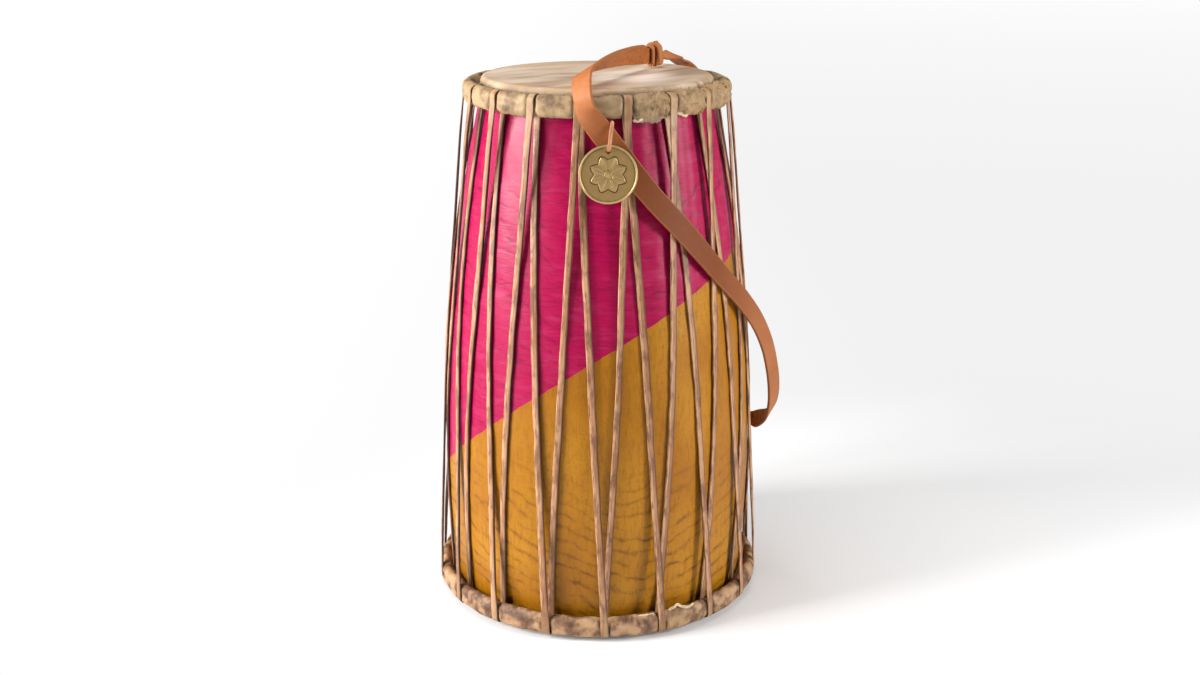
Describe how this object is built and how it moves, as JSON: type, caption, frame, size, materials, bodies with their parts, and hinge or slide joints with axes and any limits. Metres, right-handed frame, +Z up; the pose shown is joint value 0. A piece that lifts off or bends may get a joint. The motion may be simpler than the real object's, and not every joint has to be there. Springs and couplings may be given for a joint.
{
  "type": "mandar drum",
  "caption": "Barrel-shaped wooden hand drum with a hide head at each end, thong lacing between the rolled head edges, and a leather carrying strap with a hanging round medallion.",
  "frame": {"origin": "centre of the bottom head's flat face, on the surface that the drum stands on and on the barrel's axis", "axes": "+Z up along the barrel's axis from the wide bottom head to the small top head, -Y towards the front where the medallion hangs, +X towards the strap's bow"},
  "size_m": [0.3312, 0.3126, 0.5172],
  "materials": {
    "painted_wood": "magenta over ochre paint, thin enough to show the grain, satin",
    "cane": "bare cane, satin",
    "hide": "scraped raw hide, mottled, dull",
    "rawhide_thong": "twisted rawhide, dull sheen",
    "strap_leather": "tan vegetable-tanned leather, satin",
    "pale_leather": "thin tan thong, satin",
    "aged_brass": "stamped brass, darkened in its hollows"
  },
  "bodies": {
    "drum": {"drum_shell": "painted_wood", "top_hoop": "cane", "top_head": "hide", "bottom_hoop": "cane", "bottom_head": "hide", "lacing_thong": "rawhide_thong", "lacing_knot": "rawhide_thong"},
    "strap": {"strap_front": "strap_leather", "strap_back": "strap_leather", "strap_knot": "strap_leather", "medallion_thong": "pale_leather"},
    "medallion": {"medallion": "aged_brass"}
  },
  "joints": [
    {"name": "strap_swing", "type": "hinge", "parent": "drum", "child": "strap", "pos_m": [0.14594, 0.0404, 0.145], "axis": [-0.172, 0.1351, 0.9758], "range_deg": [0, 22]},
    {"name": "medallion_swing", "type": "hinge", "parent": "strap", "child": "medallion", "pos_m": [0.00946, -0.13234, 0.44332], "axis": [0, -0.9969, 0.0785], "range_deg": [-35, 35]}
  ]
}
